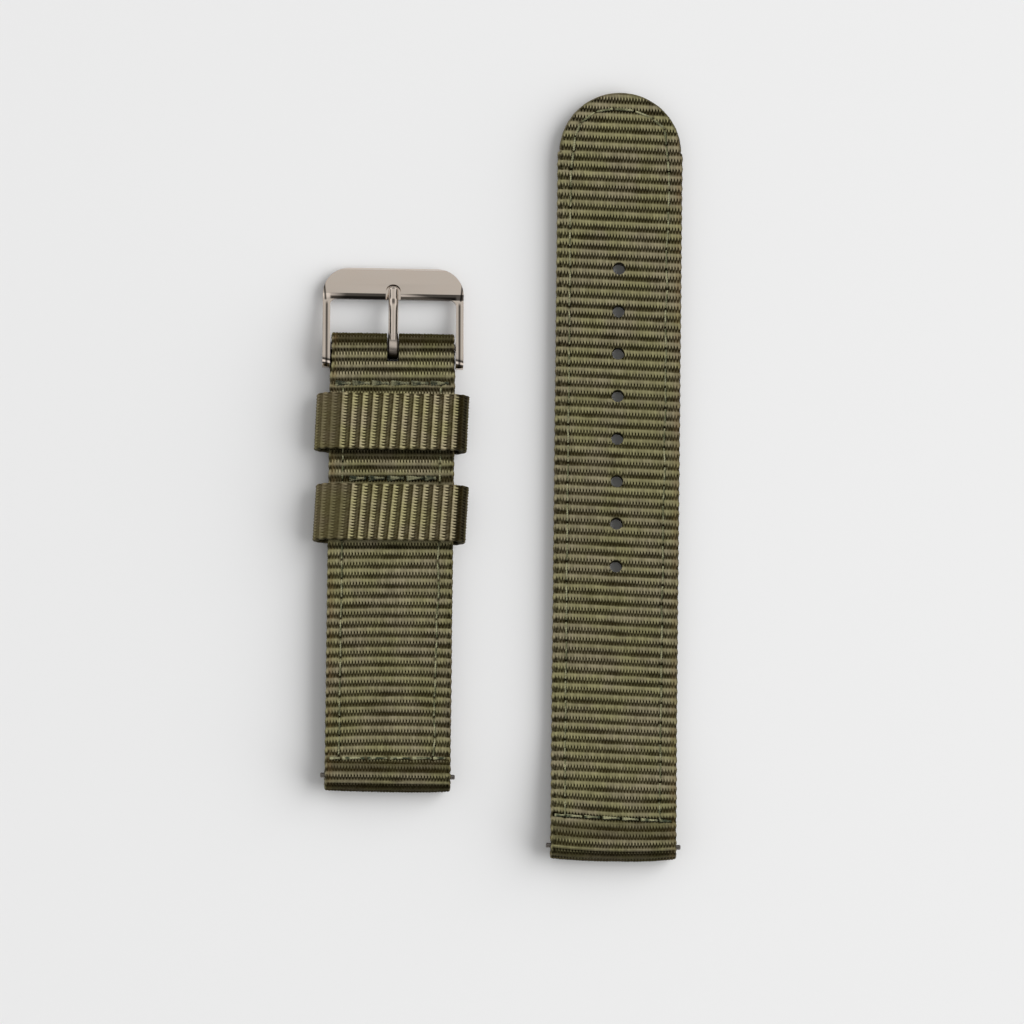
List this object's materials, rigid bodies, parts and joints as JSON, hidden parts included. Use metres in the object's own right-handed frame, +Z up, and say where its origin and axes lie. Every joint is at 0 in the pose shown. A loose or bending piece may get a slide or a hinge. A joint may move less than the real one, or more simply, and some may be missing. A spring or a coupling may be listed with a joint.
{
  "type": "watch strap",
  "caption": "Two-piece ribbed nylon watch strap with pin buckle, fixed and floating keepers, stitched edges and spring bars in its lug loops.",
  "frame": {"origin": "middle of the box round both halves as laid out flat, on the floor that they rest on", "axes": "+Y along the strap from the lug bars to the buckle and the tip, +X across it from the short half to the tail, +Z up out of the outer face"},
  "size_m": [0.0592, 0.125, 0.0057],
  "materials": {
    "strap_webbing": "ribbed nylon webbing, dark olive green",
    "keeper_webbing": "ribbed nylon webbing, dark olive green",
    "thread": "twisted multi-strand thread, pale green",
    "buckle_steel": "mirror-polished stainless steel",
    "bar_steel": "turned stainless steel",
    "spring_steel": "drawn spring wire"
  },
  "bodies": {
    "strap_halves": {"short_webbing": "strap_webbing", "tail_webbing": "strap_webbing", "fixed_keeper": "keeper_webbing", "short_side_stitches_left": "thread", "short_side_stitches_right": "thread", "short_lug_row_stitches": "thread", "keeper_row_stitches": "thread", "keeper_tack_stitches": "thread", "buckle_row_stitches": "thread", "tail_side_stitches_left": "thread", "tail_side_stitches_right": "thread", "tail_tip_stitches": "thread", "tail_lug_row_stitches": "thread"},
    "floating_keeper": {"floating_keeper": "keeper_webbing", "floating_keeper_seam": "thread"},
    "buckle_frame": {"buckle_frame": "buckle_steel"},
    "buckle_tongue": {"buckle_tongue": "buckle_steel"},
    "buckle_bar": {"buckle_bar_tube": "bar_steel", "buckle_bar_spring": "spring_steel"},
    "buckle_bar_plunger_left": {"buckle_bar_plunger_left": "bar_steel"},
    "buckle_bar_plunger_right": {"buckle_bar_plunger_right": "bar_steel"},
    "short_bar": {"short_bar_tube": "bar_steel", "short_bar_spring": "spring_steel"},
    "short_bar_plunger_left": {"short_bar_plunger_left": "bar_steel"},
    "short_bar_plunger_right": {"short_bar_plunger_right": "bar_steel"},
    "tail_bar": {"tail_bar_tube": "bar_steel", "tail_bar_spring": "spring_steel"},
    "tail_bar_plunger_left": {"tail_bar_plunger_left": "bar_steel"},
    "tail_bar_plunger_right": {"tail_bar_plunger_right": "bar_steel"}
  },
  "joints": [
    {"name": "keeper_slide", "type": "slide", "parent": "strap_halves", "child": "floating_keeper", "axis": [0, 1, 0], "range_m": [-0.005, 0.0022]},
    {"name": "buckle_swing", "type": "hinge", "parent": "strap_halves", "child": "buckle_frame", "pos_m": [-0.01733, 0.0202, 0.0027], "axis": [1, 0, 0], "range_deg": [-60, 65]},
    {"name": "tongue_swing", "type": "hinge", "parent": "buckle_frame", "child": "buckle_tongue", "pos_m": [-0.01733, 0.0202, 0.0027], "axis": [1, 0, 0], "range_deg": [0, 45]},
    {"name": "buckle_bar_spin", "type": "hinge", "parent": "strap_halves", "child": "buckle_bar", "pos_m": [-0.01733, 0.0202, 0.0027], "axis": [1, 0, 0], "continuous": true},
    {"name": "buckle_bar_plunger_left_press", "type": "slide", "parent": "buckle_bar", "child": "buckle_bar_plunger_left", "axis": [1, 0, 0], "range_m": [0, 0.001], "stiffness_N_per_m": 1000, "springref_m": -0.0005, "deforming": ["buckle_bar_spring"]},
    {"name": "buckle_bar_plunger_right_press", "type": "slide", "parent": "buckle_bar", "child": "buckle_bar_plunger_right", "axis": [-1, 0, 0], "range_m": [0, 0.001], "stiffness_N_per_m": 1000, "springref_m": -0.0005, "deforming": ["buckle_bar_spring"]},
    {"name": "short_bar_spin", "type": "hinge", "parent": "strap_halves", "child": "short_bar", "pos_m": [-0.01733, -0.0491, 0.0027], "axis": [1, 0, 0], "continuous": true},
    {"name": "short_bar_plunger_left_press", "type": "slide", "parent": "short_bar", "child": "short_bar_plunger_left", "axis": [1, 0, 0], "range_m": [0, 0.001], "stiffness_N_per_m": 1000, "springref_m": -0.0005, "deforming": ["short_bar_spring"]},
    {"name": "short_bar_plunger_right_press", "type": "slide", "parent": "short_bar", "child": "short_bar_plunger_right", "axis": [-1, 0, 0], "range_m": [0, 0.001], "stiffness_N_per_m": 1000, "springref_m": -0.0005, "deforming": ["short_bar_spring"]},
    {"name": "tail_bar_spin", "type": "hinge", "parent": "strap_halves", "child": "tail_bar", "pos_m": [0.01887, -0.0598, 0.0027], "axis": [1, 0, 0], "continuous": true},
    {"name": "tail_bar_plunger_left_press", "type": "slide", "parent": "tail_bar", "child": "tail_bar_plunger_left", "axis": [1, 0, 0], "range_m": [0, 0.001], "stiffness_N_per_m": 1000, "springref_m": -0.0005, "deforming": ["tail_bar_spring"]},
    {"name": "tail_bar_plunger_right_press", "type": "slide", "parent": "tail_bar", "child": "tail_bar_plunger_right", "axis": [-1, 0, 0], "range_m": [0, 0.001], "stiffness_N_per_m": 1000, "springref_m": -0.0005, "deforming": ["tail_bar_spring"]}
  ]
}
